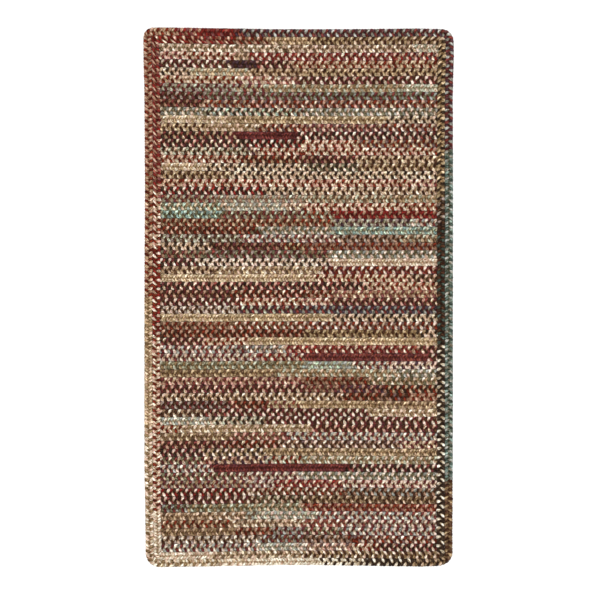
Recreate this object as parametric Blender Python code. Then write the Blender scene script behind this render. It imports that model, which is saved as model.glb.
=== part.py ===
"""A cross-sewn braided rug, lying flat on the floor.

Sixty-four straight braids lie side by side across the rug, and two rounds of braid run
around them. Each braid has a flat underside, a crowned top and rounded edges. The
straight braids are joined in pairs along their seam, with the seam's groove kept above
and below. Metres, +X across, +Y along the rug's length, +Z up, the floor at z = 0.
"""

import math

import bmesh
import bpy

MM = 0.001

# Driving sizes
LENGTH = 1219 * MM  # along Y, before the edges stray
WIDTH = 700 * MM  # along X, before the edges stray
THICKNESS = 11.5 * MM
STRAIGHT_BRAIDS = 64
ROUNDS = 2
GAP = 0.3 * MM  # between neighbouring braids
# outside the outer round, anticlockwise from the top right corner
CORNER_RADII = (26 * MM, 22 * MM, 32 * MM, 31 * MM)
INMOST_RADIUS = 0.8 * MM  # inside the inner round
CORNER_STEPS = 5

# Worked out from the driving sizes
PITCH = LENGTH / (STRAIGHT_BRAIDS + 2 * ROUNDS)
FIELD_LENGTH = LENGTH - 2 * ROUNDS * PITCH
FIELD_WIDTH = WIDTH - 2 * ROUNDS * PITCH
PAIRS = STRAIGHT_BRAIDS // 2

# One braid's section: share of its width, height of its top, height of its underside
SECTION = (
    (0.00, 8.0 * MM, 2.6 * MM),
    (0.16, 10.6 * MM, 0.0),
    (0.50, THICKNESS, 0.0),
    (0.84, 10.6 * MM, 0.0),
    (1.00, 8.0 * MM, 2.6 * MM),
)

# How far the long edges stray outwards: share of the length from the bottom, left, right
LONG_EDGES = (
    (0.00, -3.0 * MM, -1.0 * MM),
    (0.08, -1.5 * MM, -1.0 * MM),
    (0.20, 0.5 * MM, 0.0),
    (0.45, 1.0 * MM, 0.5 * MM),
    (0.70, -0.8 * MM, 0.0),
    (0.88, 1.0 * MM, 0.5 * MM),
    (0.95, 3.0 * MM, 3.0 * MM),
    (1.00, 3.0 * MM, 1.5 * MM),
)

# How far the short edges stray outwards: share of the width from the left, top, bottom
SHORT_EDGES = (
    (0.00, 3.0 * MM, 3.0 * MM),
    (0.06, 3.0 * MM, 3.0 * MM),
    (0.20, 1.5 * MM, 1.5 * MM),
    (0.45, -0.7 * MM, -1.5 * MM),
    (0.70, -0.7 * MM, -0.5 * MM),
    (0.90, 1.0 * MM, 1.5 * MM),
    (1.00, -1.0 * MM, -1.5 * MM),
)

# How far the rows stray upwards: share of the length from the bottom, stray.
# The rounds at the bottom end are laced tighter than those at the top.
ROWS = (
    (0.00, 0.0),
    (0.03, -5.0 * MM),
    (0.97, -0.6 * MM),
    (1.00, 0.0),
)

# The yarn blends: base colour in linear light
BLENDS = {
    "cream": (0.50, 0.40, 0.26),
    "tan": (0.34, 0.22, 0.12),
    "olive": (0.20, 0.16, 0.08),
    "sage": (0.25, 0.23, 0.16),
    "teal": (0.18, 0.24, 0.20),
    "rust": (0.26, 0.09, 0.05),
    "rose": (0.36, 0.19, 0.14),
    "charcoal": (0.07, 0.055, 0.045),
}
YARN_ROUGHNESS = 0.9

# The blend that shows most in each pair of straight braids, from the top of the rug down
PAIR_BLENDS = (
    "cream tan rust rust sage rust tan rust rose tan teal rust teal tan cream rust "
    "charcoal tan rose tan rust charcoal rose olive tan rust rust olive rust tan tan rose"
).split()
BORDER_BLENDS = {"border_inner": "olive", "border_outer": "charcoal"}


def stray(table, share, column):
    """The table's value at a share along the edge, on straight lines between its rows."""
    for before, after in zip(table, table[1:]):
        if share <= after[0]:
            part = (share - before[0]) / (after[0] - before[0])
            return before[column] + part * (after[column] - before[column])
    return table[-1][column]


def place(x, y):
    """A point of the straight-edged rug, moved by as much as the edges and rows stray there."""
    across = x / WIDTH + 0.5
    along = y / LENGTH + 0.5
    left, right = (stray(LONG_EDGES, along, column) for column in (1, 2))
    top, bottom = (stray(SHORT_EDGES, across, column) for column in (1, 2))
    return (
        x + right * across - left * (1 - across),
        y + top * along - bottom * (1 - along) + stray(ROWS, along, 1),
    )


def knots(table, size, reach):
    """The places along one edge where its straight lines meet, within reach of the middle."""
    places = [(row[0] - 0.5) * size for row in table]
    return [p for p in places if abs(p) < reach]


def outline(inset, radii):
    """The rug's outline, moved inwards, from the right end of the bottom edge round to the left.

    Corners are arcs. The straight stretches keep only the points where an edge changes
    its direction, so that outlines with different insets have their points in pairs.
    """
    half = (WIDTH / 2 - inset, LENGTH / 2 - inset)
    across = knots(SHORT_EDGES, WIDTH, WIDTH / 2 - max(CORNER_RADII))
    along = knots(LONG_EDGES, LENGTH, LENGTH / 2 - max(CORNER_RADII))
    sides = (
        [(half[0], y) for y in along],
        [(x, half[1]) for x in reversed(across)],
        [(-half[0], y) for y in reversed(along)],
        [(x, -half[1]) for x in across],
    )
    corners = ((1, 1), (-1, 1), (-1, -1), (1, -1))
    points = []
    for turn, (side, (right, up), radius) in enumerate(zip(sides, corners, radii)):
        points += side
        centre = (right * (half[0] - radius), up * (half[1] - radius))
        for step in range(CORNER_STEPS + 1):
            angle = (turn + step / CORNER_STEPS) * math.pi / 2
            points.append(
                (
                    centre[0] + radius * math.cos(angle),
                    centre[1] + radius * math.sin(angle),
                )
            )
    return points


def braid_section(braids):
    """The section of braids sewn side by side: share of the whole width, top, underside."""
    columns = []
    for braid in range(braids):
        new = SECTION if braid == 0 else SECTION[1:]
        columns += [((braid + share) / braids, top, low) for share, top, low in new]
    return columns


def yarn_material(name, blend):
    material = bpy.data.materials.new(name)
    material.use_nodes = True
    shader = material.node_tree.nodes["Principled BSDF"]
    shader.inputs["Base Color"].default_value = (*BLENDS[blend], 1)
    shader.inputs["Roughness"].default_value = YARN_ROUGHNESS
    shader.inputs["Metallic"].default_value = 0
    return material


def braid_object(name, blend, edge, other_edge, section, closed):
    """A solid between two edges of paired points, with the section across from one to the other.

    A flat grid has a row of points for each pair. It is laid between the edges at the
    height of the underside, and extruded up to the height of the top.
    """
    steps = len(edge) if closed else len(edge) - 1
    columns = len(section) - 1
    mesh = bmesh.new()
    bmesh.ops.create_grid(mesh, x_segments=steps, y_segments=columns, size=1)
    grid = {}
    for vertex in mesh.verts:
        step = round((vertex.co.x + 1) / 2 * steps)
        column = round((vertex.co.y + 1) / 2 * columns)
        grid[vertex] = (step % len(edge), column)
    tops = {}
    for vertex, (step, column) in grid.items():
        share, top, low = section[column]
        (x0, y0), (x1, y1) = edge[step], other_edge[step]
        x, y = place(x0 + share * (x1 - x0), y0 + share * (y1 - y0))
        vertex.co = (x, y, low)
        tops[tuple(vertex.co)] = top
    if closed:
        bmesh.ops.remove_doubles(mesh, verts=mesh.verts, dist=GAP / 100)
    raised = bmesh.ops.extrude_face_region(mesh, geom=mesh.faces[:])["geom"]
    for element in raised:
        if isinstance(element, bmesh.types.BMVert):
            element.co.z = tops[tuple(element.co)]
    bmesh.ops.recalc_face_normals(mesh, faces=mesh.faces)
    data = bpy.data.meshes.new(name)
    mesh.to_mesh(data)
    mesh.free()
    data.shade_smooth()
    data.set_sharp_from_angle(angle=math.radians(35))
    data.materials.append(yarn_material(name, blend))
    braid = bpy.data.objects.new(name, data)
    bpy.data.collections["braided_rug"].objects.link(braid)
    return braid


def straight_pair(number):
    """Two straight braids sewn together, counted from the top of the rug."""
    top = FIELD_LENGTH / 2 - 2 * (number - 1) * PITCH - GAP / 2
    low = top - 2 * PITCH + GAP
    reach = FIELD_WIDTH / 2 - GAP
    stations = [-reach, *knots(SHORT_EDGES, WIDTH, reach), reach]
    low_edge = [(x, low) for x in stations]
    top_edge = [(x, top) for x in stations]
    name = f"braid_pair_{number:02d}"
    blend = PAIR_BLENDS[number - 1]
    return braid_object(name, blend, low_edge, top_edge, braid_section(2), closed=False)


def border_round(name, depth, outer_radii, inner_radii):
    """One round of border braid: depth counts the rounds outside it."""
    outer = outline(depth * PITCH + (GAP / 2 if depth else 0), outer_radii)
    inner = outline((depth + 1) * PITCH - GAP / 2, inner_radii)
    blend = BORDER_BLENDS[name]
    return braid_object(name, blend, outer, inner, braid_section(1), closed=True)


def build():
    for thing in list(bpy.data.objects):
        bpy.data.objects.remove(thing, do_unlink=True)
    rug = bpy.data.collections.new("braided_rug")
    bpy.context.scene.collection.children.link(rug)
    for number in range(1, PAIRS + 1):
        straight_pair(number)
    outside_gap = [radius - PITCH + GAP / 2 for radius in CORNER_RADII]
    inside_gap = [radius - GAP for radius in outside_gap]
    inmost = [INMOST_RADIUS for _ in CORNER_RADII]
    border_round("border_outer", 0, CORNER_RADII, outside_gap)
    border_round("border_inner", 1, inside_gap, inmost)


build()
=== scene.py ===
# %% [markdown]
# # A cross-sewn braided rug
#
# The rug is made of three-strand plaits of thick tweedy yarn. Sixty-four straight plaits lie side by
# side across it, and two more rounds of plait run around them. Neighbouring plaits are laced together
# through their edges, so the rug has no backing and looks the same from below.
#
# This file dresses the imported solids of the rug, which say how long, wide and thick it is and where each
# plait lies. The plaits are worked out here as surfaces with numpy, and nodes give them their yarn.

# %% Load the frame
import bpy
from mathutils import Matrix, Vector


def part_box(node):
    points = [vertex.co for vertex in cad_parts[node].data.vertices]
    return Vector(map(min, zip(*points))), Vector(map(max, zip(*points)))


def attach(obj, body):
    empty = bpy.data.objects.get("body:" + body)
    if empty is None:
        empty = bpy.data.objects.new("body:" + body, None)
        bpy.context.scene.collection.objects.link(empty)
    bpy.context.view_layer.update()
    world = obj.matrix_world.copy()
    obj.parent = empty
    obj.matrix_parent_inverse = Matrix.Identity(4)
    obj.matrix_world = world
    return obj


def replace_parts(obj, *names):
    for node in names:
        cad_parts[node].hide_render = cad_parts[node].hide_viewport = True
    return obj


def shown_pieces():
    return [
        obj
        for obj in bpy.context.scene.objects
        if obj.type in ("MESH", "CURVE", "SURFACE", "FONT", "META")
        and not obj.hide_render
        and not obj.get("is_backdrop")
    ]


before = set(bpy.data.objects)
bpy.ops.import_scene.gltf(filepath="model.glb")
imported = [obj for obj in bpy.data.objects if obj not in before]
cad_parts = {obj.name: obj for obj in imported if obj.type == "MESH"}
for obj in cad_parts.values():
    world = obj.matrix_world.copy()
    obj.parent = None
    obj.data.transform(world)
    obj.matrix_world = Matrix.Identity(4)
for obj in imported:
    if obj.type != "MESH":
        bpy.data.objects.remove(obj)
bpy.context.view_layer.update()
print("solids in the frame:", len(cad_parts))

# %% Modules and units
import math

import bpy
import numpy as np

MM = 0.001  # one millimetre, because Blender counts in metres

# %% [markdown]
# ## Sizes, from the frame
#
# Everything follows from the outer round's box and from the number of straight plaits. The edges are not
# quite straight, so the box is a little larger than that of a straight-edged rug. Two short tables say
# how much the edges stray, and a third one how much the rows do. They are those of the solids, but for
# the two ends of the third one: there the loops of the real plait reach a little further out or in than
# the solid's plain edge.

# %% How far the edges stray
# share of the length from the bottom, and mm by which the left and right edge lie further out
LONG_EDGES = np.array([
    (0.00, -3.0, -1.0),
    (0.08, -1.5, -1.0),
    (0.20, 0.5, 0.0),
    (0.45, 1.0, 0.5),
    (0.70, -0.8, 0.0),
    (0.88, 1.0, 0.5),
    (0.95, 3.0, 3.0),
    (1.00, 3.0, 1.5),
])
# share of the width from the left, and mm by which the top and bottom edge lie further out
SHORT_EDGES = np.array([
    (0.00, 3.0, 3.0),
    (0.06, 3.0, 3.0),
    (0.20, 1.5, 1.5),
    (0.45, -0.7, -1.5),
    (0.70, -0.7, -0.5),
    (0.90, 1.0, 1.5),
    (1.00, -1.0, -1.5),
])
# share of the length from the bottom, and mm by which the rows lie further up: the rounds at the bottom
# are laced tighter than those at the top
ROW_STRAY = np.array([(0.00, -2.4), (0.03, -5.0), (0.97, -0.6), (1.00, -0.8)])

# %% Driving sizes
low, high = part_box("border_outer")
furthest_side = LONG_EDGES[:, 1:].max(0).sum() * MM
furthest_end = SHORT_EDGES[:, 1:].max(0).sum() * MM
WIDTH = high.x - low.x - furthest_side
LENGTH = high.y - low.y - furthest_end
THICKNESS = high.z - low.z

ROUNDS = 2
pair_names = sorted(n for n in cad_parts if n.startswith("braid_pair_"))
ROWS = 2 * len(pair_names)
PITCH = LENGTH / (ROWS + 2 * ROUNDS)  # the width of one plait
FIELD_WIDTH = WIDTH - 2 * ROUNDS * PITCH
FIELD_LENGTH = LENGTH - 2 * ROUNDS * PITCH
CORNER_RADII = np.array([26, 22, 32, 31]) * MM  # outside, anticlockwise from the top right corner
INMOST_RADIUS = 0.8 * MM
print(f"rug {WIDTH / MM:.1f} x {LENGTH / MM:.1f} x {THICKNESS / MM:.1f} mm,", end=" ")
print(f"{ROWS} rows of plait, each {PITCH / MM:.2f} mm wide")


# %% Laying a point on the rug
def stray(table, share, column):
    """A table's value at a share of the way, on straight lines between its rows."""
    return np.interp(share, table[:, 0], table[:, column]) * MM


def laid(x, y):
    """Where a point of the straight-edged rug lies on this one.

    The left and right strays are read at the point's share of the length, and mixed by its share of the
    width. The top and bottom strays are read and mixed the other way round. The rows' own is added.
    """
    across, along = x / WIDTH + 0.5, y / LENGTH + 0.5
    left, right = (stray(LONG_EDGES, along, column) for column in (1, 2))
    top, bottom = (stray(SHORT_EDGES, across, column) for column in (1, 2))
    rows = stray(ROW_STRAY, along, 1)
    return x + right * across - left * (1 - across), y + top * along - bottom * (1 - along) + rows


# %% [markdown]
# ## Camera, floor and light
#
# The rug is seen from straight above, so the camera hangs over it with a long lens, which keeps the
# edges of the thick rug from showing their sides. The floor is plain white. The light is that of a white
# room: an even world, and one large soft lamp straight above, so that both halves of a plait are lit
# alike and only the clefts between the strands are dark.

# %% Camera
VIEW_WIDTH = 1363 * MM  # what the picture shows from left to right
VIEW_CENTRE = (2.8 * MM, -7.7 * MM)  # the rug is not quite in the middle of the picture
LENS, SENSOR = 100, 36  # in mm, as a camera's own settings are


def placed(name, data, location=(0, 0, 0)):
    """A new object in the scene."""
    thing = bpy.data.objects.new(name, data)
    thing.location = location
    bpy.context.scene.collection.objects.link(thing)
    return thing


camera = bpy.data.cameras.new("camera_above")
camera.lens, camera.sensor_width = LENS, SENSOR
camera_height = VIEW_WIDTH * LENS / SENSOR + THICKNESS
bpy.context.scene.camera = placed("camera_above", camera, (*VIEW_CENTRE, camera_height))
bpy.context.scene.view_settings.view_transform = "Standard"
print(f"camera {camera_height:.2f} m above the floor")

# %% Floor
FLOOR_REACH = 6.0  # from its middle to each side
FLOOR_FINISH = {"Base Color": (0.9, 0.9, 0.9, 1), "Roughness": 0.8}


def set_values(node, values):
    """Sets plain values on a node's sockets, by their names."""
    for label, value in values.items():
        node.inputs[label].default_value = value


def new_material(name, finish):
    """A material shaded by nodes, its node tree, and the shader in it, which gets the plain values."""
    material = bpy.data.materials.new(name)
    material.use_nodes = True
    shader = material.node_tree.nodes["Principled BSDF"]
    set_values(shader, finish)
    return material, material.node_tree, shader


corners = [(x * FLOOR_REACH, y * FLOOR_REACH, 0) for x, y in ((-1, -1), (1, -1), (1, 1), (-1, 1))]
floor_mesh = bpy.data.meshes.new("floor")
floor_mesh.from_pydata(corners, [], [(0, 1, 2, 3)])
floor_mesh.materials.append(new_material("white_floor", FLOOR_FINISH)[0])
floor = placed("floor", floor_mesh)
floor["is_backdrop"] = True
print(f"floor {2 * FLOOR_REACH:.0f} m wide")

# %% Light
WORLD_LIGHT = {"Color": (1, 1, 1, 1), "Strength": 0.85}
LAMP_POWER = 95  # watts
LAMP_SIZE = 1.8  # across
LAMP_HEIGHT = 3.4

world = bpy.data.worlds.new("white_room")
world.use_nodes = True
set_values(world.node_tree.nodes["Background"], WORLD_LIGHT)
bpy.context.scene.world = world

lamp = bpy.data.lights.new("soft_lamp", "AREA")
lamp.shape, lamp.size, lamp.energy = "DISK", LAMP_SIZE, LAMP_POWER
placed("soft_lamp", lamp, (0, 0, LAMP_HEIGHT))
print(f"world {WORLD_LIGHT['Strength']}, lamp {LAMP_POWER} W, {LAMP_SIZE} m wide")

# %% [markdown]
# ## One strand of the plait
#
# In a flat three-strand plait each strand swings from one edge to the other. It lies on top while it
# comes in from an edge, and it dives under the middle before it reaches the other edge. So its place
# across the plait is a cosine, and its height is a sine of twice the angle. Three such strands, a third
# of a turn apart, take turns on top. A whole turn takes 20 mm of the plait.
#
# A few small terms make the curve that of soft yarn. The strand turns round the edge in a full loop, not
# in a pointed one, and crosses the plait a little more steeply than an even pace would have it. It is
# highest soon after the edge, so that the plait has a valley along its middle. The yarn is plump where it
# lies on top and slimmer where another strand presses on it. A curve with a round bevel would draw a
# strand too, but a grid of points can be plump and slim in turn, and knows how deep each point lies.

# %% The strand's own sizes
TURN = 20.07 * MM  # of plait for one whole turn of a strand
SWING = 6.5 * MM  # from the plait's middle line to a strand's middle at its edge
FULLNESS = 0.08  # share of the third harmonic in the swing, which makes the loops full
RISE = 2.7 * MM  # from the plait's middle height to the middle of a strand on top
EARLY = 0.3  # share of the second harmonic in the rise, which brings the top nearer to the edge
STEEP = 0.5 * MM  # how much closer together the two ends of a strand's visible stretch lie
HALF_WIDTH = 3.3 * MM  # of one strand, seen from above
HALF_DEPTH = 3.1 * MM  # of one strand, upwards
PLUMP = 0.07  # how much the strand swells on top and thins at the crossings
SIDES = 6  # of a strand's section
RING_SHARES = np.array([12, 38, 64, 90, 138]) / 180  # of half a turn; the top has the closer rings
# the rounds have more, most of all the outer one, whose loops are seen against the floor
ROUND_SIDES = {"border_outer": 8, "border_inner": 6}
ROUND_SHARES = {
    "border_outer": np.array([8, 29, 50, 72, 95, 122, 152]) / 180,
    "border_inner": np.array([8, 30, 52, 75, 100, 142]) / 180,
}
SOFT_END = 5 * MM  # the last stretch of a cut end, which narrows
END_TUCK = 2.5 * MM  # how far the cut ends reach under the loops of the inner round
END_DIP = 2.5 * MM  # how much lower they lie there
print(f"a strand {2 * HALF_WIDTH / MM:.1f} x {2 * HALF_DEPTH / MM:.1f} mm,", end=" ")
print(f"which swings {2 * SWING / MM:.0f} mm and turns once in {TURN / MM:.2f} mm")


# %% Once around, and step by step
def angles_around(sides):
    """Equal steps once around, from 0."""
    return np.arange(sides) / sides * 2 * math.pi


def running_total(steps):
    """The sum of the steps before each point: 0 at the first point, and all of them at the last."""
    return np.concatenate([[0], np.cumsum(steps)])


# %% The surface of a strand
def strand_surface(angle, travel, scale):
    """Rings of points around one strand, before it is laid on the rug.

    angle is the strand's angle at each ring, travel the length of plait for one radian, and scale a
    factor on the strand's thickness at each point. Across, the middle of the strand is at the swing
    times the cosine of the angle, less a little of the cosine of three times the angle. Upwards it is at
    the rise times the sine of twice the angle, and a little of the sine of four times the angle. Along,
    it is ahead of its even pace by a little of the cosine of twice the angle. Each ring is an ellipse
    square to the way the strand runs there. Returns how far each point lies along, across and above its
    ring's place on the plait's middle line, as arrays of rings by sides, and the strand's length up to
    each ring.
    """
    swing = SWING / (1 - FULLNESS)
    ahead = travel - 2 * STEEP * np.sin(2 * angle)
    sideways = -swing * (np.sin(angle) - 3 * FULLNESS * np.sin(3 * angle))
    upwards = 2 * RISE * (np.cos(2 * angle) + 2 * EARLY * np.cos(4 * angle))
    level = np.hypot(ahead, sideways)
    whole = np.hypot(level, upwards)
    side = np.stack([-sideways / level, ahead / level, 0 * angle])
    up = np.stack([-ahead * upwards, -sideways * upwards, level**2]) / (level * whole)
    swell = scale * (1 + PLUMP * np.sin(2 * angle))[:, None]
    around = angles_around(scale.shape[1])
    wide, deep = HALF_WIDTH * swell * np.cos(around), HALF_DEPTH * swell * np.sin(around)
    across = swing * (np.cos(angle) - FULLNESS * np.cos(3 * angle))
    above = RISE * (np.sin(2 * angle) + EARLY * np.sin(4 * angle))
    middle = np.stack([STEEP * np.cos(2 * angle), across, above])
    points = middle[:, :, None] + side[:, :, None] * wide + up[:, :, None] * deep
    steps = np.diff(angle) * (whole[1:] + whole[:-1]) / 2
    return points, running_total(steps)


# %% Rings along a strand
END_CLEARANCE = 0.1  # radians, so that no ring is squeezed against a cut end


def ring_angles(first, last):
    """The strand's angle at each ring, from a first to a last angle.

    The rings are at fixed shares of each half turn, so that all loops look alike. Those too near to the
    two ends are left out.
    """
    halves = np.arange(math.floor(first / math.pi), math.ceil(last / math.pi))
    angles = ((halves[:, None] + RING_SHARES) * math.pi).ravel()
    inside = angles[(angles > first + END_CLEARANCE) & (angles < last - END_CLEARANCE)]
    return np.concatenate([[first], inside, [last]])


# %% Wander
WAVES = np.arange(1, 9)  # in the length of a plait, from the slowest wave to the fastest


def wander_line(size, rng):
    """A slow, uneven wander along a plait, as a function of the share of its length: the sum of a few
    sine waves with chance heights and starts. Each fits a whole number of times, so a closed round meets
    itself."""
    heights = rng.normal(0, size / math.sqrt(len(WAVES)), len(WAVES))
    starts = rng.uniform(0, 2 * math.pi, len(WAVES))
    return lambda share: np.sin(2 * math.pi * share[:, None] * WAVES + starts) @ heights


# %% [markdown]
# ## The colours
#
# Such a rug is sewn hit-or-miss. The plaiter takes whatever yarn is at hand, and ties in another when
# one runs out, so a plait changes its three yarns a few times on its way across. That could be left to
# chance, but the real rug has its own order of rows, so it is written down as a plaiter would note it.
# The chart has a line for each row, from the top of the rug down. A line gives the row's runs from left
# to right: the names of a run's three yarns, and how many turns of the plait they last. All rows are 31
# turns long. Each yarn is a tweed of a main colour and a second one.


# %% The yarns
def linear(screen):
    """Screen values from 0 to 255 as linear light: a power of 2.4 above a short straight start."""
    screen = np.array(screen) / 255
    return np.where(screen <= 0.04045, screen / 12.92, ((screen + 0.055) / 1.055) ** 2.4)


YARNS = {  # screen values of the main colour and of the tweed colour
    "white": ((240, 240, 225), (215, 180, 170)),
    "bone": ((240, 240, 228), (210, 195, 175)),
    "cream": ((245, 245, 230), (195, 155, 135)),
    "sand": ((240, 230, 200), (170, 135, 120)),
    "tan": ((225, 200, 180), (155, 130, 95)),
    "ochre": ((235, 210, 175), (135, 120, 90)),
    "khaki": ((175, 150, 117), (115, 95, 67)),
    "olive": ((150, 130, 100), (90, 70, 55)),
    "sage": ((210, 220, 200), (140, 130, 115)),
    "ice": ((185, 185, 180), (125, 130, 125)),
    "teal": ((210, 240, 215), (115, 115, 125)),
    "sea": ((150, 180, 174), (92, 108, 106)),
    "grey": ((190, 180, 165), (130, 110, 110)),
    "spruce": ((145, 165, 155), (85, 95, 90)),
    "slate": ((135, 130, 105), (80, 75, 55)),
    "pine": ((92, 110, 102), (48, 56, 50)),
    "pink": ((240, 235, 210), (190, 125, 120)),
    "clay": ((210, 180, 160), (155, 115, 95)),
    "rose": ((190, 160, 140), (135, 95, 75)),
    "rust": ((129, 51, 32), (85, 34, 20)),
    "red": ((150, 115, 90), (90, 75, 85)),
    "brick": ((158, 90, 71), (98, 60, 64)),
    "ruby": ((147, 44, 38), (83, 31, 29)),
    "wine": ((131, 64, 56), (76, 40, 46)),
    "plum": ((100, 64, 61), (55, 44, 57)),
    "ink": ((80, 68, 76), (54, 48, 57)),
    "brown": ((144, 115, 91), (85, 65, 52)),
    "umber": ((90, 64, 44), (60, 32, 24)),
    "black": ((45, 31, 26), (70, 55, 42)),
}
YARN_NAMES = list(YARNS)
MAIN_COLOURS, TWEED_COLOURS = linear(list(YARNS.values())).transpose(1, 0, 2)
print(len(YARNS), "yarns:", ", ".join(YARN_NAMES))

# %% The chart of the straight rows, from the top
FIELD_CHART = """
cream cream olive 14, brown sand white 14, sage cream white 3
white pink wine 3, cream pink rust 5, sand tan brown 2, white ruby brick 16, pink ruby red 5
white wine umber 8, plum plum umber 3, umber wine pink 4, rust clay sand 11, sand tan rust 5
sand cream black 4, sand ochre sage 6, umber tan tan 6, ochre tan umber 15
pink rust sand 3, cream tan rust 6, brick pink white 6, white wine umber 16
grey sage wine 9, sage wine tan 3, khaki sage tan 15, sage cream sage 4
grey wine umber 5, grey slate wine 11, ice wine slate 11, ice slate wine 4
wine umber rose 5, sand rust red 5, pink red rust 21
cream slate ice 5, white teal black 7, cream teal umber 4, slate ice white 15
sand ochre cream 8, ochre tan khaki 3, sand ochre khaki 14, cream black sand 6
sand ochre umber 5, khaki tan cream 6, pink red rust 5, pink wine red 9, white red rust 6
wine black tan 8, wine wine wine 7, white wine black 16
pink wine black 9, white black ruby 7, pink cream rust 6, sand red rust 9
cream sage umber 10, white plum rose 1, cream pink rust 5, rust pink cream 15
cream rust clay 9, umber rust tan 7, umber wine clay 6, umber sand tan 9
cream sand ochre 5, cream sand black 11, cream slate black 6, sand khaki umber 9
sand khaki umber 8, cream sand black 23
tan rust clay 3, cream pink rust 13, pink pink rust 12, white pink wine 3
white ruby black 12, cream sand black 4, cream sand umber 15
wine rose sage 6, sage grey rose 10, brown tan sage 11, sage tan khaki 4
slate teal sand 7, cream ice sage 7, cream red sand 2, cream pink rust 11, rose pink rust 4
sea teal slate 7, brown wine sage 9, rust sage rose 3, ruby ruby rose 12
brown rust tan 10, rust tan brown 9, plum sage grey 9, white wine ice 3
umber rust clay 11, ice cream slate 8, sea teal sage 12
sage grey umber 9, white ice wine 7, white grey wine 4, grey rose umber 7, sage tan brown 4
cream tan black 6, umber wine rose 8, rust umber ochre 2, rust red rose 15
slate wine rose 5, grey slate wine 11, wine slate rose 3, slate ice white 12
white wine black 4, white white black 15, cream cream sand 12
sand tan umber 6, brown ochre cream 12, white wine rust 13
ochre sand sand 17, sand pink rust 11, pink brown umber 3
pink wine black 23, sand pink rust 8
umber wine clay 8, pink rust umber 8, brown rust pink 3, brick rose sand 12
white wine umber 9, cream pink rust 7, white pink brick 3, pink wine umber 12
white umber grey 9, plum wine sage 7, ice wine ink 15
sand ochre ochre 19, cream sand black 12
rust brown clay 8, white rust brown 8, white red rust 15
umber rust clay 16, ochre khaki umber 13, cream cream black 2
pink wine umber 5, sand rust pink 5, ochre ochre sand 21
white ice wine 9, red ice white 5, pink ruby brick 15, pink umber wine 2
wine grey cream 11, white ruby red 5, brick wine wine 14, white wine umber 1
slate khaki sage 16, teal ice sage 5, ice cream wine 5, white white plum 5
ochre khaki brown 13, khaki sage tan 13, white slate ice 5
pink rose wine 16, rust brown rose 7, cream khaki slate 8
pink wine umber 16, rose wine brown 4, rose wine plum 5, tan black rust 6
cream tan umber 16, cream umber tan 4, rust umber rose 5, red umber rust 3, clay rose rust 3
umber wine grey 8, rust umber clay 4, sand ochre brick 4, tan khaki ochre 8, brown ochre tan 7
cream brown umber 5, white umber wine 18, cream sand khaki 8
ice cream sage 6, cream sage black 6, white wine umber 19
cream tan rust 2, sand cream khaki 15, pink wine umber 14
sand khaki brown 8, pink brick brown 6, ice cream wine 17
umber wine clay 7, rust umber pink 6, umber red white 14, wine sand pink 4
white wine black 5, white khaki black 7, olive tan ochre 19
cream slate wine 5, pink rose plum 7, cream sage rust 4, sage cream khaki 15
ice white wine 6, wine wine wine 15, white wine black 10
cream slate wine 8, cream grey wine 8, white slate ice 15
wine grey tan 10, white grey wine 3, pink ruby brick 7, white white wine 11
white ruby umber 10, rust brown white 10, ice umber rose 11
white wine umber 10, cream umber slate 6, tan olive umber 15
ice slate wine 3, slate khaki sage 7, sage tan slate 6, rust brick clay 15
brown tan tan 5, brown tan cream 5, white ice sage 7, white ice wine 14
rust brown tan 8, brown sand cream 8, brick brick white 5, wine grey white 10
khaki brown tan 8, rust brown clay 5, wine ice grey 3, wine slate cream 4, ice white wine 11
umber grey cream 11, ice wine brown 5, grey rose umber 5, red red rust 1, rust red white 9
white ice wine 11, sage ice white 5, white pink red 5, pink white rust 3, white wine black 7
""".strip().splitlines()

# %% The chart of the two rounds, from the bottom right corner up and around
ROUND_CHARTS = {
    "border_outer": (
        "umber khaki brown 9, pine spruce ice 20, pine ice spruce 18, wine plum ice 13",
        "wine plum ice 24, ruby ruby brick 4, ruby brick clay 3, rust rose tan 3",
        "rust rose clay 16, rust rose tan 14, khaki ochre tan 6, ochre tan sand 9, cream cream khaki 15",
        "bone sand khaki 8, bone cream sand 4, bone bone cream 7, bone bone black 6, "
        "black black bone 5, black olive tan 4",
    ),
    "border_inner": (
        "bone black black 24, pine black umber 13, umber grey black 3, khaki ochre black 18",
        "khaki sand umber 11, khaki ochre umber 4, ochre tan khaki 5, clay rust brown 4, "
        "ruby brick clay 5, ruby rust pink 4",
        "ruby brick clay 18, cream pink rust 6, white ruby rust 10, cream pink rust 20, "
        "bone cream cream 5",
        "bone cream cream 6, olive sand cream 10, cream khaki umber 16",
    ),
}


# %% Reading a chart
def read_runs(line, start, end):
    """Where each run of a chart line ends, and its three yarns as numbers into the list of yarns. The
    line's turns are spread evenly from start to end."""
    runs = [run.split() for run in line.split(",")]
    turns = np.cumsum([float(run[-1]) for run in runs])
    yarns = np.array([[YARN_NAMES.index(name) for name in run[:-1]] for run in runs])
    return start + (end - start) * turns / turns[-1], yarns


SPLICE_SPREAD = 6 * MM  # the three yarns of a run aren't changed at quite the same place


def strand_yarn(place, strand, run_ends, run_yarns, rng):
    """The number of the yarn at each place along one strand: that of the run it falls in. The strand's
    splices lie at the run ends, give or take a chance length."""
    splices = run_ends[:-1] + rng.normal(0, SPLICE_SPREAD, len(run_ends) - 1)
    return run_yarns[np.searchsorted(splices, place), strand]


turn_counts = {sum(int(run.split()[-1]) for run in line.split(",")) for line in FIELD_CHART}
print(f"{len(FIELD_CHART)} rows in the chart, of {turn_counts} turns")

# %% [markdown]
# ## From strands to a mesh
#
# A strand is a grid of rings by sides. The grids of all the strands in a piece are put together as
# arrays, and `foreach_set` writes them into one mesh. Each point keeps its yarn's two colours. Each
# face corner keeps its way along the strand and around it, which the yarn's pattern follows, and its
# place in a picture that holds every face once, for anyone who bakes the colours.


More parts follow.
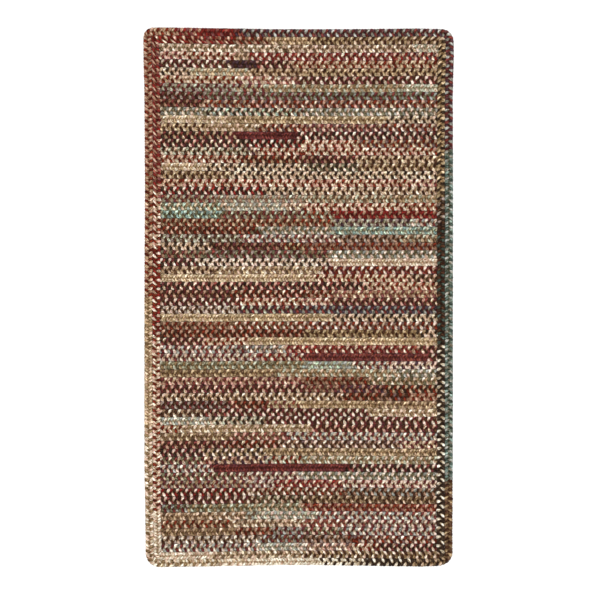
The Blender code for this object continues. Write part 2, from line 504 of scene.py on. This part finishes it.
# %% Faces of a strand
def strand_faces(rings, sides, closed):
    """Quads between neighbouring rings and sides as point numbers. Faces point outwards: each runs
    around the strand first and then along it."""
    steps = rings if closed else rings - 1
    ring, side = np.meshgrid(np.arange(steps), np.arange(sides), indexing="ij")
    next_ring, next_side = (ring + 1) % rings, (side + 1) % sides
    corners = [ring * sides + side, ring * sides + next_side]
    corners += [next_ring * sides + next_side, next_ring * sides + side]
    return np.stack(corners, -1).reshape(-1, 4)


# where the four corners of such a face are, counted from its first one
CORNER_STEPS_ALONG = np.array([0, 0, 1, 1])
CORNER_STEPS_AROUND = np.array([0, 1, 1, 0])


# %% A picture that holds every face once
CAP_RADIUS = 0.4  # of its place in the last row


def picture_places(faces_along, sides, caps):
    """Corner places, from 0 to 1, for a piece whose strands have this many faces along them in all.

    The strands lie in the picture as words do on a page, one after another, and go on in the next row
    where one is full. The number of rows makes the faces about square. The end caps lie in a last row.
    """
    rows = max(1, round(math.sqrt(faces_along / sides)))
    columns = math.ceil(faces_along / rows)
    whole = rows + (1 if caps else 0)
    step, side = np.divmod(np.arange(faces_along * sides), sides)
    row, column = np.divmod(step, columns)
    across = (column[:, None] + CORNER_STEPS_ALONG) / columns
    up = (row[:, None] + (side[:, None] + CORNER_STEPS_AROUND) / sides) / whole
    walls = np.stack([across, up], -1).reshape(-1, 2)
    around = angles_around(sides)
    across = (np.arange(caps)[:, None] + 0.5 + CAP_RADIUS * np.cos(around)) / max(caps, 1)
    up = (rows + 0.5 + CAP_RADIUS * np.sin(around)) / whole + 0 * across
    return np.concatenate([walls, np.stack([across, up], -1).reshape(-1, 2)])


# %% Along and around all strands
def joined(strands, key):
    """What all the strands hold under one name, put together ring after ring."""
    return np.concatenate([strand[key] for strand in strands])


def ways_along(length, sides):
    """The way along and around the strand at each face corner, from its length up to each ring."""
    step, side = np.divmod(np.arange((len(length) - 1) * sides), sides)
    along = length[step[:, None] + CORNER_STEPS_ALONG]
    around = (side[:, None] + CORNER_STEPS_AROUND) / sides
    return np.stack([along, around], -1).reshape(-1, 2)


# %% Putting a piece together
def strand_piece(name, strands, material, closed):
    """One object from strands. Each is a dictionary that holds its points (rings by sides by 3) and its
    length up to each ring, which on a closed strand ends with that up to its first ring again. Cut ends
    are closed with a face."""
    sides = strands[0]["points"].shape[1]
    rings = np.array([len(strand["points"]) for strand in strands])
    firsts = running_total(rings)[:-1] * sides
    quads = np.concatenate([f + strand_faces(r, sides, closed) for f, r in zip(firsts, rings)])
    ring = np.arange(sides)
    caps = [] if closed else [(f + ring, f + (r - 1) * sides + ring[::-1]) for f, r in zip(firsts, rings)]
    caps = np.array(caps, dtype=int).reshape(-1, sides)
    points = joined(strands, "points").reshape(-1, 3)
    corner_points = np.concatenate([quads.ravel(), caps.ravel()])
    starts = np.concatenate([np.arange(len(quads)) * 4, quads.size + np.arange(len(caps)) * sides])

    mesh = bpy.data.meshes.new(name)
    mesh.vertices.add(len(points))
    mesh.vertices.foreach_set("co", points.astype(np.float32).ravel())
    mesh.loops.add(len(corner_points))
    mesh.loops.foreach_set("vertex_index", corner_points.astype(np.int32))
    mesh.polygons.add(len(starts))
    mesh.polygons.foreach_set("loop_start", starts.astype(np.int32))
    mesh.update(calc_edges=True)
    mesh.shade_smooth()

    ways = [ways_along(strand["length"], sides) for strand in strands]
    ways = np.concatenate([*ways, np.zeros((caps.size, 2))])
    picture = picture_places(len(quads) // sides, sides, len(caps))
    for label, places in (("strand_way", ways), ("OFBake", picture)):
        layer = mesh.uv_layers.new(name=label)
        layer.uv.foreach_set("vector", places.astype(np.float32).ravel())

    mesh.materials.append(material)
    piece = placed(name, mesh)
    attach(piece, "root")
    return piece


# %% A piece with its colours
def plait_piece(name, strands, material, closed):
    """A piece of plaited strands. Their rings also have a yarn's number and a tone, from which each
    point gets its two colours, and their points have an openness, from which the material paints shade
    into the colour."""
    piece = strand_piece(name, strands, material, closed)
    yarn, tone = joined(strands, "yarn"), joined(strands, "tone")[:, None]
    sides = strands[0]["points"].shape[1]
    for label, table in (("main_colour", MAIN_COLOURS), ("tweed_colour", TWEED_COLOURS)):
        colours = np.concatenate([table[yarn] * tone, np.ones_like(tone)], 1)
        attribute = piece.data.attributes.new(label, "FLOAT_COLOR", "POINT")
        attribute.data.foreach_set("color", np.repeat(colours, sides, 0).astype(np.float32).ravel())
    # the openness of each point, for the painted shade between the strands
    attribute = piece.data.attributes.new("painted_shade_openness", "FLOAT", "POINT")
    attribute.data.foreach_set("value", joined(strands, "painted_shade_openness").astype(np.float32).ravel())
    return piece


# %% [markdown]
# ## The yarn
#
# Each strand is a bundle of soft spun yarns that lie side by side and turn slowly around each other, so
# its surface has fine ridges along it. Each yarn is plied, which gives its ridge a row of slanting bumps.
# The wool is dyed before it is spun and a bundle's yarns are not all alike, so a strand is heathered:
# some of its yarns have the main colour and some the tweed one, and all of them are flecked. One node
# group works this out from the way along and around the strand, which stays sharp close up, as a picture
# wouldn't. The plait and the lacing thread both use it, each with its own number and size of yarns.
# The grooves between the yarns and between their plies are also darkened in the colour: painted shade,
# with a little painted highlight on their crests.


# %% Small helpers for node trees
def feed(tree, socket, value):
    """Gives a socket its value: another socket is linked to it, and anything else is set on it."""
    if isinstance(value, bpy.types.NodeSocket):
        tree.links.new(value, socket)
    else:
        socket.default_value = value


def add(tree, kind, *values, **settings):
    """A new node with these settings. Its first sockets are fed the values, in their order."""
    node = tree.nodes.new(kind)
    for name, value in settings.items():
        setattr(node, name, value)
    for socket, value in zip(node.inputs, values):
        feed(tree, socket, value)
    return node


def calc(tree, operation, *values):
    """A Math node of sockets or plain numbers. Returns its output socket."""
    return add(tree, "ShaderNodeMath", *values, operation=operation).outputs["Value"]


# %% Mixing and spreading
# A Mix node has sockets of the same name for numbers, for vectors and, as these, for colours
MIX_SHARE, MIX_FIRST, MIX_SECOND, MIX_RESULT = 0, 6, 7, 2


def blend(tree, share, first, second, mode="MIX"):
    """A colour Mix node of sockets or plain values. Returns its output socket."""
    node = add(tree, "ShaderNodeMix", data_type="RGBA", blend_type=mode)
    for socket, value in ((MIX_SHARE, share), (MIX_FIRST, first), (MIX_SECOND, second)):
        feed(tree, node.inputs[socket], value)
    return node.outputs[MIX_RESULT]


def spread(tree, value, start, end, low=0.0, high=1.0, kind="LINEAR"):
    """A Map Range node: start to end become low to high, and it stays at those beyond them."""
    node = add(tree, "ShaderNodeMapRange", value, start, end, low, high, interpolation_type=kind)
    return node.outputs["Result"]


# %% Patterns
def noise(tree, place, scale, detail):
    """A Noise node at a place: how many steps it has in a metre, and how many layers of finer ones.
    Returns its value and the three chance values in its colour."""
    node = add(tree, "ShaderNodeTexNoise", noise_dimensions="3D")
    for socket, value in (("Vector", place), ("Scale", scale), ("Detail", detail)):
        feed(tree, node.inputs[socket], value)
    return node.outputs["Fac"], add(tree, "ShaderNodeSeparateColor", node.outputs["Color"]).outputs


def bumps(tree, way):
    """A row of round bumps, one for each whole step of the way: the sine of half a turn a step, with its
    minus sign left off."""
    return calc(tree, "ABSOLUTE", calc(tree, "SINE", calc(tree, "MULTIPLY", way, math.pi)))


def drawn_out(tree, place, share):
    """A place whose way along counts only for a share, so that a pattern there is drawn out."""
    mapping = add(tree, "ShaderNodeMapping", place)
    mapping.inputs["Scale"].default_value = (share, 1, 1)
    return mapping.outputs["Vector"]


# %% Shade
WARMTH = (1.0, 1.25, 1.6)  # powers of the light that is left, in its red, green and blue


def shaded(tree, colour, light):
    """A colour times the light that is left on it, painted into the colour. What comes back from between
    the fibres has been coloured by them more than once, so painted shade takes more of the blue than of
    the red. Where there is more light than 1, it is the same for all three."""
    dim, bright = (calc(tree, operation, light, 1.0) for operation in ("MINIMUM", "MAXIMUM"))
    parts = [calc(tree, "MULTIPLY", calc(tree, "POWER", dim, power), bright) for power in WARMTH]
    shade = add(tree, "ShaderNodeCombineColor", *parts)
    return blend(tree, 1.0, colour, shade.outputs["Color"], "MULTIPLY")


# %% The spun yarn group's sockets
YARN_INPUTS = {
    "Way": "Vector",  # along the strand in metres, and around it as a share
    "Main Colour": "Color",
    "Tweed Colour": "Color",
    "Tweed": "Float",  # the largest share of the tweed colour
    "Yarns Around": "Float",
    "Turn Length": "Float",  # in which the yarns go once around the strand
    "Ply Length": "Float",  # from one bump of a yarn's plies to the next
    "Strand Radius": "Float",
}
YARN_OUTPUTS = {"Colour": "Color", "Roughness": "Float", "Height": "Float"}


def empty_group(name, inputs, outputs):
    """A shader node group with named sockets. Returns its tree, what it is given and what it puts out."""
    tree = bpy.data.node_groups.new(name, "ShaderNodeTree")
    for sockets, in_out in ((inputs, "INPUT"), (outputs, "OUTPUT")):
        for label, kind in sockets.items():
            tree.interface.new_socket(name=label, in_out=in_out, socket_type="NodeSocket" + kind)
    return tree, add(tree, "NodeGroupInput").outputs, add(tree, "NodeGroupOutput").inputs


# %% What the spun yarn is like
YARN_CHANGE = 20  # noise steps in a metre: how fast a yarn of the bundle changes its own colour
YARN_APART = 7.3  # noise steps between a yarn of the bundle and the next
YARN_WANDER = 1.4  # yarn widths by which the yarns of a bundle wander around it
PLY_WANDER = 12  # bumps by which a yarn's plies come sooner or later

# noise steps in a metre, and layers of finer ones
OWN_NOISE = (1, 0)  # of a place that is counted in steps already
WANDER_NOISE = (160, 1)
FLECK_NOISE = (420, 2)
FIBRE_NOISE = (2000, 3)
FLECK_DRAWN, FIBRE_DRAWN = 0.7, 0.3  # shares for which the way along counts

# the chance values between which a yarn, or a fleck, goes over from the main to the tweed colour
OWN_LIMITS = (0.42, 0.58)
FLECK_LIMITS = (0.46, 0.62)

# from which to which value each part of the yarn counts, and how much light it leaves at both. For
# the flecks, a yarn's own tone and the fibres that is the yarn's tone; for the ridges and bumps it is
# painted shade in the grooves between them, with a little painted highlight on their crests
FLECK_LIGHT = (0.35, 0.65, 0.45, 1.5)
OWN_LIGHT = (0.35, 0.65, 0.6, 1.25)
RIDGE_PAINTED_LIGHT = (0, 0.7, 0.5, 1.05)
BUMP_PAINTED_LIGHT = (0, 0.8, 0.6, 1.05)
FIBRE_LIGHT = (0.3, 0.7, 0.75, 1.25)
MOST_LIGHT = 1.25

FIBRE_ROUGHNESS = (0, 1, 0.8, 1.0)
BUMP_HEIGHT, FIBRE_HEIGHT = 0.6, 0.4  # shares of a ridge's own height


# %% The spun yarn group
def spun_yarn_group():
    """The nodes for the colour, roughness and height of a spun yarn, at its way along and around."""
    tree, given, results = empty_group("spun_yarn", YARN_INPUTS, YARN_OUTPUTS)

    # A straightened strand: its length, and the circle around it, so that no pattern has a seam
    way = add(tree, "ShaderNodeSeparateXYZ", given["Way"])
    along, around = way.outputs["X"], way.outputs["Y"]
    turn = calc(tree, "MULTIPLY", around, 2 * math.pi)
    circle = [calc(tree, operation, turn) for operation in ("COSINE", "SINE")]
    circle = [calc(tree, "MULTIPLY", part, given["Strand Radius"]) for part in circle]
    straight = add(tree, "ShaderNodeCombineXYZ", along, *circle).outputs["Vector"]

    # The single yarns of the bundle: they turn around it, wander a little, and have ridges
    wander, _ = noise(tree, straight, *WANDER_NOISE)
    slant = calc(tree, "DIVIDE", along, given["Turn Length"])
    phase = calc(tree, "MULTIPLY", calc(tree, "ADD", around, slant), given["Yarns Around"])
    phase = calc(tree, "MULTIPLY_ADD", wander, YARN_WANDER, phase)
    ridge = bumps(tree, phase)
    number = calc(tree, "FLOORED_MODULO", calc(tree, "FLOOR", phase), given["Yarns Around"])
    steps = calc(tree, "MULTIPLY", along, YARN_CHANGE), calc(tree, "MULTIPLY", number, YARN_APART)
    _, own = noise(tree, add(tree, "ShaderNodeCombineXYZ", *steps).outputs["Vector"], *OWN_NOISE)

    # Each yarn is plied, which gives it slanting bumps one ply length apart
    ply = calc(tree, "DIVIDE", along, given["Ply Length"])
    ply = calc(tree, "ADD", ply, calc(tree, "FRACT", phase))
    ply = calc(tree, "MULTIPLY_ADD", own[2], PLY_WANDER, ply)
    bump = bumps(tree, ply)

    # Its flecks, 2 to 4 mm long, and the far finer fibres
    _, flecks = noise(tree, drawn_out(tree, straight, FLECK_DRAWN), *FLECK_NOISE)
    fibre, _ = noise(tree, drawn_out(tree, straight, FIBRE_DRAWN), *FIBRE_NOISE)

    # Colour: a yarn's own share of the tweed colour, and the flecks, then light and dark: the tone of
    # flecks, yarns and fibres, and painted shade in the grooves between the yarns and their plies
    own_share = spread(tree, own[0], *OWN_LIMITS, kind="SMOOTHSTEP")
    fleck_share = spread(tree, flecks[0], *FLECK_LIMITS, kind="SMOOTHSTEP")
    share = calc(tree, "MAXIMUM", own_share, fleck_share)
    share = calc(tree, "MULTIPLY", share, given["Tweed"])
    colour = blend(tree, share, given["Main Colour"], given["Tweed Colour"])
    light = spread(tree, flecks[1], *FLECK_LIGHT)
    parts = ((own[1], OWN_LIGHT), (ridge, RIDGE_PAINTED_LIGHT), (bump, BUMP_PAINTED_LIGHT), (fibre, FIBRE_LIGHT))
    for value, limits in parts:
        light = calc(tree, "MULTIPLY", light, spread(tree, value, *limits))
    light = calc(tree, "MINIMUM", light, MOST_LIGHT)
    tree.links.new(shaded(tree, colour, light), results["Colour"])

    tree.links.new(spread(tree, fibre, *FIBRE_ROUGHNESS), results["Roughness"])
    height = calc(tree, "MULTIPLY_ADD", bump, BUMP_HEIGHT, ridge)
    height = calc(tree, "MULTIPLY_ADD", fibre, FIBRE_HEIGHT, height)
    tree.links.new(height, results["Height"])
    return tree


spun_yarn = spun_yarn_group()
print("spun yarn group:", len(spun_yarn.nodes), "nodes")


def spun_yarn_node(tree, values):
    """The spun yarn in a material, laid along the strands and fed the material's own values."""
    way = add(tree, "ShaderNodeUVMap", uv_map="strand_way")
    yarn = add(tree, "ShaderNodeGroup", node_tree=spun_yarn)
    for label, value in {"Way": way.outputs["UV"], **values}.items():
        feed(tree, yarn.inputs[label], value)
    return yarn.outputs


# %% The plait's material
PLAIT_YARN = {
    "Tweed": 0.8,
    "Yarns Around": 8,
    "Turn Length": 90 * MM,
    "Ply Length": 3 * MM,
    "Strand Radius": 3 * MM,
}
# Painted shade: the colour is darkened where a point is little open, deep between the strands
CLEFT_SHADE = 0.42  # how much light is left deep between the strands
CLEFT_DEEP, CLEFT_OPEN = 0.45, 0.8  # exposure there, and on the strands' backs
# the relief is that of the ridges, bumps and fibres; wool is dull, with a little fuzz
RELIEF = {"Strength": 0.7, "Distance": 0.5 * MM}
WOOL_FINISH = {"Specular IOR Level": 0.05, "Sheen Weight": 0.02, "Sheen Roughness": 0.6}


def plait_material():
    """Reads the two colours and the openness of each point, and paints shade into the colour: the less
    open a point is, deep between the strands, the darker its colour."""
    material, tree, shader = new_material("plaited_yarn", WOOL_FINISH)
    main, tweed, painted_shade_openness = (
        add(tree, "ShaderNodeAttribute", attribute_name=label).outputs
        for label in ("main_colour", "tweed_colour", "painted_shade_openness")
    )
    colours = {"Main Colour": main["Color"], "Tweed Colour": tweed["Color"]}
    yarn = spun_yarn_node(tree, {**PLAIT_YARN, **colours})
    # painted shade: the light left on the colour goes from CLEFT_SHADE deep between the strands to 1 on
    # their backs
    light = spread(tree, painted_shade_openness["Fac"], CLEFT_DEEP, CLEFT_OPEN, CLEFT_SHADE, 1.0)
    tree.links.new(shaded(tree, yarn["Colour"], light), shader.inputs["Base Color"])
    tree.links.new(yarn["Roughness"], shader.inputs["Roughness"])
    relief = add(tree, "ShaderNodeBump")
    set_values(relief, RELIEF)
    tree.links.new(yarn["Height"], relief.inputs["Height"])
    tree.links.new(relief.outputs["Normal"], shader.inputs["Normal"])
    return material


plaited_yarn = plait_material()

# %% [markdown]
# ## The straight plaits
#
# Each straight plait runs from the right border to the left one, and its cut ends are tucked under the
# loops there. It starts at a chance point of its turn, and no two plaits have quite the same length of
# turn. The lacing pulls them so tight that the loops at their edges press into each other, and each
# plait wanders a little from its straight line. One plait copied 64 times would show as a pattern, so
# each is worked out with its own chance numbers.

# %% One strand of any plait
STRANDS = 3
MIDDLE_HEIGHT = THICKNESS / 2
SLIP, SWAY, LIFT = 1.0 * MM, 0.25 * MM, 0.12 * MM  # wander along, across and up
TONE_SPREAD = 0.10  # of one half turn against the next, as a share
THICKNESS_SPREAD = 0.05
HALF_TURN_START = 0.25  # both of these change at a quarter of each half turn
LUMPS = 0.03  # of the strand's thickness, from one point of its surface to the next
END_THINNING = 0.4  # of the strand's thickness, at a cut end
YARN_STORE = 20.0  # metres of yarn, from which each strand starts at a chance place


def half_turn_chance(angle, size, rng):
    """A chance factor near 1 for each half turn of a strand, the same for all its rings in that half."""
    half = np.floor(angle / math.pi - HALF_TURN_START).astype(int)
    half -= half.min()
    return (1 + rng.normal(0, size, half.max() + 1))[half]


def loose_strand(angle, distance, length, travel, wanders, rng, sides, soft_ends):
    """One strand on a straight line: how far its points lie along, across and above the plait's middle
    line, with the wander of the whole plait, its tone and length for every ring, and the openness of
    every point, from which the material paints shade. That is 0 in the plait's middle and 1 on the oval
    around the plait, at its edges and its top and bottom."""
    scale = half_turn_chance(angle, THICKNESS_SPREAD, rng)
    dip = np.zeros(len(angle))
    if soft_ends:
        dip = 1 - np.clip(np.minimum(distance, length - distance) / SOFT_END, 0, 1)
    scale *= 1 - END_THINNING * dip
    lumps = 1 + rng.normal(0, LUMPS, (len(angle), sides))
    (along, across, above), way = strand_surface(angle, travel, scale[:, None] * lumps)
    slip, sway, lift = (wander(distance / length)[:, None] for wander in wanders)
    height = MIDDLE_HEIGHT + above + lift - END_DIP * dip[:, None]
    points = distance[:, None] + along + slip, across + sway, height
    tone = half_turn_chance(angle, TONE_SPREAD, rng)
    # the openness, from which the material paints shade deep between the strands
    painted_shade_openness = np.hypot(across / (SWING + HALF_WIDTH), above / (RISE + HALF_DEPTH))
    return points, {"tone": tone, "length": way + rng.uniform(0, YARN_STORE), "painted_shade_openness": painted_shade_openness}


def new_wanders(rng):
    """Functions of the share of a plait's length, for its slip, sway and lift."""
    return [wander_line(size, rng) for size in (SLIP, SWAY, LIFT)]


# %% One straight plait
TURN_SPREAD = 0.015  # of one plait's turns against the next one's, as a share


def straight_plait(row, rng):
    """The three strands of one straight plait, counted from the top of the rug, laid on the rug."""
    reach = FIELD_WIDTH / 2 + END_TUCK
    length = 2 * reach
    middle = FIELD_LENGTH / 2 - (row + 0.5) * PITCH
    travel = TURN / (2 * math.pi) * (1 + rng.normal(0, TURN_SPREAD))
    start = rng.uniform(0, 2 * math.pi)
    wanders = new_wanders(rng)
    run_ends, run_yarns = read_runs(FIELD_CHART[row], 0, length)
    strands = []
    for strand in range(STRANDS):
        lead = start + strand * 2 * math.pi / STRANDS
        angle = ring_angles(lead, lead + length / travel)
        distance = (angle - lead) * travel
        places, made = loose_strand(angle, distance, length, travel, wanders, rng, SIDES, soft_ends=True)
        along, across, above = places
        x, y = laid(reach - np.clip(along, 0, length), middle + across)
        made["points"] = np.stack([x, y, np.maximum(above, 0)], -1)
        made["yarn"] = strand_yarn(length - distance, strand, run_ends, run_yarns, rng)
        strands.append(made)
    return strands


# %% All the straight plaits
SEED = 64  # another number gives another rug of the same kind
rng = np.random.default_rng(SEED)
for number, name in enumerate(pair_names):
    strands = straight_plait(2 * number, rng) + straight_plait(2 * number + 1, rng)
    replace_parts(plait_piece(name + "_plait", strands, plaited_yarn, closed=False), name)
faces = sum(len(o.data.polygons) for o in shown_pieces() if o.name.endswith("_plait"))
print(f"{len(pair_names)} pairs of straight plaits, {faces} faces")

# %% [markdown]
# ## The two rounds of border
#
# A round is the same plait, but it follows the rug's outline and closes on itself. At a corner its outer
# edge has further to go than its inner one, so the loops open there on the outside and close up on the
# inside. That is what happens when the plait is laid between two rails whose points are in pairs, and
# no modifier that bends a straight plait along one curve does it as simply.

# %% Rails
ARC_STEPS = 12  # of a quarter circle at a corner
CORNERS = ((1, 1), (-1, 1), (-1, -1), (1, -1))  # anticlockwise from the top right
RAIL_RADII = (CORNER_RADII, CORNER_RADII - PITCH, np.full(4, INMOST_RADIUS))  # from the outermost rail


def rail(inset, radii):
    """An outline of the rug moved inwards. Its points run anticlockwise from the foot of the right side:
    straight sides, and at each corner an arc of equal steps. The last point is the first one again."""
    angle = np.linspace(0, math.pi / 2, ARC_STEPS + 1)
    arcs = []
    for turn, ((right, up), radius) in enumerate(zip(CORNERS, radii)):
        centre = (right * (WIDTH / 2 - inset - radius), up * (LENGTH / 2 - inset - radius))
        way = angle + turn * math.pi / 2
        arcs.append(np.array(centre) + radius * np.stack([np.cos(way), np.sin(way)], -1))
    return np.concatenate([arcs[-1][-1:], *arcs])


def round_rails(depth):
    """The outer and the inner rail of the border round that has depth rounds outside it."""
    return [rail((depth + side) * PITCH, RAIL_RADII[depth + side]) for side in (0, 1)]


def way_marks(line):
    """How far along a line each of its points lies: the sum of the steps before it."""
    return running_total(np.linalg.norm(np.diff(line, axis=0), axis=1))


def between(rails, marks, distance, share):
    """Points between an outer and an inner rail: distance runs along the line midway between them, whose
    points are at marks, and share goes from 0 on the outer rail to 1 on the inner one."""
    distance = distance % marks[-1]
    outer, inner = ([np.interp(distance, marks, line[:, axis]) for axis in (0, 1)] for line in rails)
    return [a + (b - a) * share for a, b in zip(outer, inner)]


# %% One round
def border_plait(name, depth, rng):
    """The three strands of a border round that has depth rounds outside it, laid on the rug."""
    rails = round_rails(depth)
    marks = way_marks((rails[0] + rails[1]) / 2)
    length = marks[-1]
    turns = round(length / TURN)
    travel = length / (2 * math.pi * turns)
    corner_places = marks[1 + ARC_STEPS // 2 :: ARC_STEPS + 1]
    start = corner_places[-1] - length  # the middle of the bottom right corner
    side_ends = np.concatenate([[start], corner_places]) - start
    runs = [read_runs(line, *side_ends[n : n + 2]) for n, line in enumerate(ROUND_CHARTS[name])]
    run_ends, run_yarns = (np.concatenate(part) for part in zip(*runs))
    sides = ROUND_SIDES[name]
    wanders = new_wanders(rng)
    strands = []
    for strand in range(STRANDS):
        lead = strand * 2 * math.pi / STRANDS
        angle = ((np.arange(2 * turns)[:, None] + ROUND_SHARES[name]) * math.pi).ravel()
        distance = (angle - lead) * travel
        places, made = loose_strand(angle, distance, length, travel, wanders, rng, sides, soft_ends=False)
        along, across, above = places
        x, y = laid(*between(rails, marks, along, 0.5 - across / PITCH))
        made["points"] = np.stack([x, y, np.maximum(above, 0)], -1)
        made["yarn"] = strand_yarn((distance - start) % length, strand, run_ends, run_yarns, rng)
        made["length"] = np.append(made["length"], 2 * made["length"][-1] - made["length"][-2])
        strands.append(made)
    return strands


# %% Both rounds
for depth, name in enumerate(ROUND_CHARTS):
    strands = border_plait(name, depth, rng)
    piece = plait_piece(name + "_plait", strands, plaited_yarn, closed=True)
    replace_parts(piece, name)
    print(name, len(piece.data.polygons), "faces")

# %% [markdown]
# ## The lacing thread
#
# A blunt needle takes a strong thread from a loop of one plait to a loop of the next, and back. It is
# pulled until the plaits touch, so it disappears between them. What can still be seen of it is a thread
# at half the rug's height, in the small openings between the loops, and it is coloured dark there as
# painted shade of those openings. So it is made as a plain zigzag along every seam: between the rows,
# between the two rounds, and where the rows meet the inner one. It has three sides, because only its
# shade is seen.

# %% The thread's sizes and material
THREAD_RADIUS = 1.4 * MM
THREAD_SWING = 1.2 * MM  # to either side of the seam
THREAD_SIDES = 3
THREAD_STEP = TURN / STRANDS  # the loops of a plait are this far apart
THREAD_FINISH = {"Roughness": 0.9, "Specular IOR Level": 0.05}
THREAD_YARN = {
    # dark colours, as painted shade: the thread stands for the shade in the openings between the loops
    "Main Colour": (*linear((75, 55, 42)), 1),
    "Tweed Colour": (*linear((50, 38, 30)), 1),
    "Tweed": 0.8,
    "Yarns Around": 2,
    "Turn Length": 5 * MM,
    "Ply Length": 2 * MM,
    "Strand Radius": THREAD_RADIUS,
}


def lacing_material():
    """A dull thread of two single yarns, turned tightly around each other, whose dark colours are painted
    shade of the seams.
    """
    material, tree, shader = new_material("lacing_thread", THREAD_FINISH)
    yarn = spun_yarn_node(tree, THREAD_YARN)
    tree.links.new(yarn["Colour"], shader.inputs["Base Color"])
    return material


# %% A thread along a line of points
def thread_along(x, y):
    """A thin strand through points at half the rug's height. Its rings stand square to the line."""
    ahead = np.stack([np.gradient(x), np.gradient(y)])
    ahead /= np.hypot(*ahead)
    around = angles_around(THREAD_SIDES)
    wide, deep = THREAD_RADIUS * np.cos(around), THREAD_RADIUS * np.sin(around)
    rings = [x[:, None] - ahead[1][:, None] * wide, y[:, None] + ahead[0][:, None] * wide]
    rings.append(MIDDLE_HEIGHT + deep + 0 * rings[0])
    steps = np.hypot(np.diff(x), np.diff(y))
    return {"points": np.stack(rings, -1), "length": running_total(steps)}


def zigzag(length):
    """Distances one step apart, and for each of them a turn to one side or the other."""
    distance = np.linspace(0, length, round(length / THREAD_STEP) + 1)
    return distance, THREAD_SWING * (1 - 2 * (np.arange(len(distance)) % 2))


def row_lacing(seam):
    """The thread in the seam below a row, counted from the top."""
    distance, swing = zigzag(FIELD_WIDTH)
    return thread_along(*laid(distance - FIELD_WIDTH / 2, FIELD_LENGTH / 2 - (seam + 1) * PITCH + swing))


def round_lacing(depth):
    """The thread on the inside of the border round that has depth rounds outside it."""
    rails = round_rails(depth)
    marks = way_marks(rails[1])
    distance, swing = zigzag(marks[-1])
    return thread_along(*laid(*between(rails, marks, distance, 1 + swing / PITCH)))


# %% All the lacing
lacing = [row_lacing(seam) for seam in range(ROWS - 1)] + [round_lacing(depth) for depth in range(ROUNDS)]
thread = strand_piece("lacing_thread", lacing, lacing_material(), closed=False)
print(f"{len(lacing)} seams laced, {len(thread.data.polygons)} faces")
